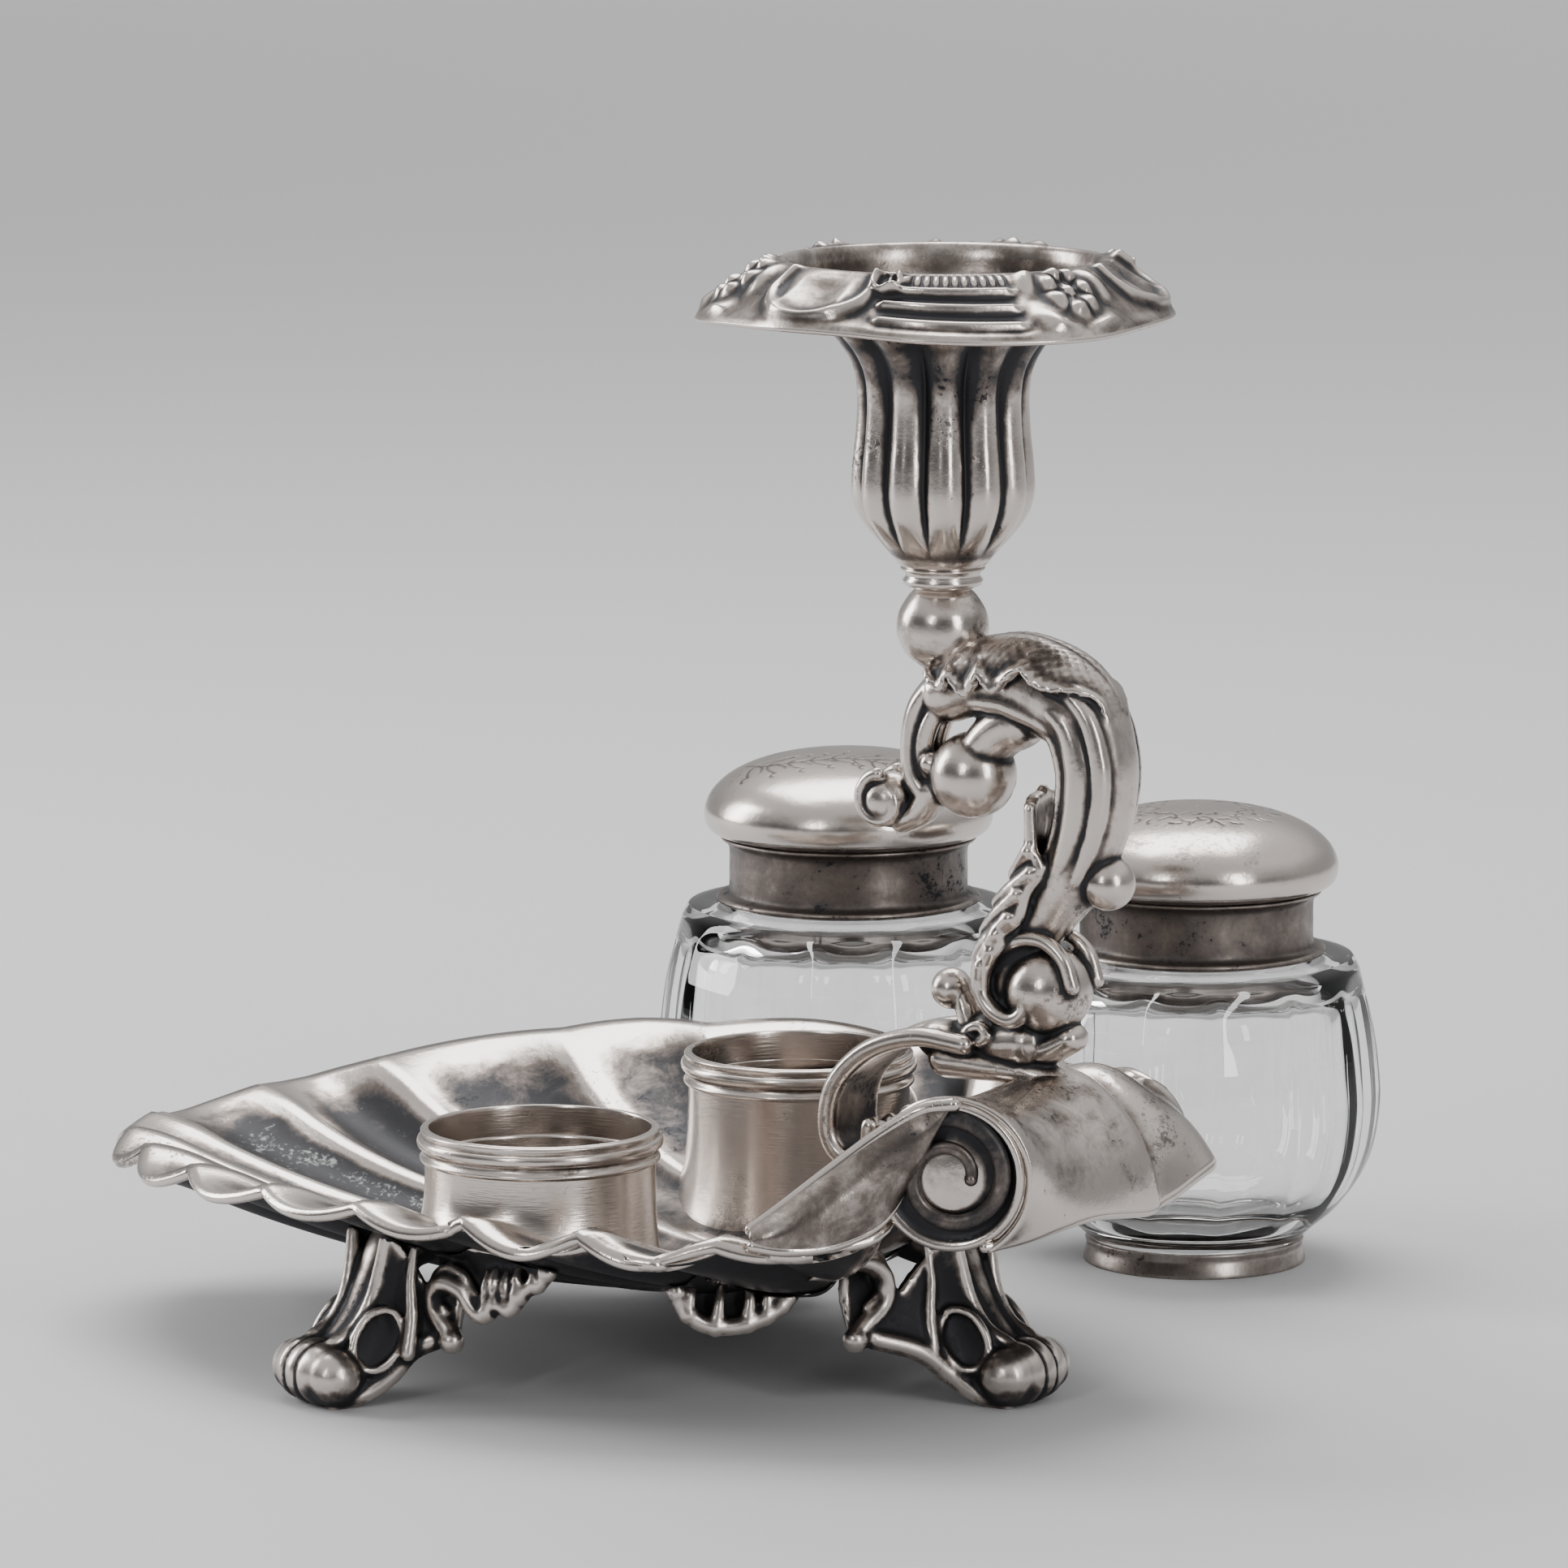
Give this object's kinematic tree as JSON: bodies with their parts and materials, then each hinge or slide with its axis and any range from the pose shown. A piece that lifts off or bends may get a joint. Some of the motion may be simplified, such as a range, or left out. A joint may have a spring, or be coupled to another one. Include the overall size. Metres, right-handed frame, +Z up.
{
  "type": "inkwell",
  "caption": "Silver desk inkstand: shell-shaped tray on scroll feet with ring holders, a scroll handle carrying a candle socket with drip pan, and lidded cut-glass ink jars.",
  "frame": {"origin": "middle of the whole set's footprint, on the surface it stands on", "axes": "+X from the tray's pointed tip to its hooded hinge end, +Y from the stand to the jars behind it, +Z up along the candle socket"},
  "size_m": [0.1779, 0.1967, 0.1682],
  "materials": {
    "silver_tray": "polished silver with brown-black tarnish in the flutes",
    "silver_cast": "cast silver, bright on the high parts and black in the hollows",
    "silver_ring": "fine turned silver",
    "silver_cup": "polished silver with tarnished flutes",
    "silver_pan": "die-struck silver, black in the relief",
    "silver_collar": "mottled grey-brown tarnished silver",
    "silver_lid": "polished silver with fine engraving",
    "steel_fastener": "plain steel",
    "plaster_fill": "dull plaster",
    "cut_glass": "clear cut glass"
  },
  "bodies": {
    "stand": {"shell_tray": "silver_tray", "hinge_foot": "silver_cast", "far_foot": "silver_cast", "near_foot": "silver_cast", "near_ring_wall": "silver_ring", "near_ring_band": "silver_ring", "far_ring_wall": "silver_ring", "far_ring_band": "silver_ring", "scroll_handle": "silver_cast", "knop_ball": "silver_cup", "knop_collar": "silver_cup", "candle_cup": "silver_cup", "socket_stud": "steel_fastener", "socket_nut": "steel_fastener"},
    "drip_pan": {"drip_pan": "silver_pan", "nozzle_tube": "silver_pan"},
    "left_jar": {"left_jar_glass": "cut_glass", "left_jar_foot_ring": "silver_collar", "left_jar_collar": "silver_collar", "left_jar_plaster": "plaster_fill"},
    "left_jar_lid": {"left_jar_lid_dome": "silver_lid", "left_jar_lid_bezel": "silver_lid"},
    "right_jar": {"right_jar_glass": "cut_glass", "right_jar_foot_ring": "silver_collar", "right_jar_collar": "silver_collar", "right_jar_plaster": "plaster_fill"},
    "right_jar_lid": {"right_jar_lid_dome": "silver_lid", "right_jar_lid_bezel": "silver_lid"}
  },
  "joints": [
    {"name": "drip_pan_lift", "type": "slide", "parent": "stand", "child": "drip_pan", "axis": [0, 0, 1], "range_m": [0, 0.04]},
    {"name": "left_jar_lift", "type": "slide", "parent": "stand", "child": "left_jar", "axis": [0, 0, 1], "range_m": [0, 0.06]},
    {"name": "left_jar_lid_lift", "type": "slide", "parent": "left_jar", "child": "left_jar_lid", "axis": [0, 0, 1], "range_m": [0, 0.03]},
    {"name": "right_jar_lift", "type": "slide", "parent": "stand", "child": "right_jar", "axis": [0, 0, 1], "range_m": [0, 0.06]},
    {"name": "right_jar_lid_lift", "type": "slide", "parent": "right_jar", "child": "right_jar_lid", "axis": [0, 0, 1], "range_m": [0, 0.03]}
  ]
}
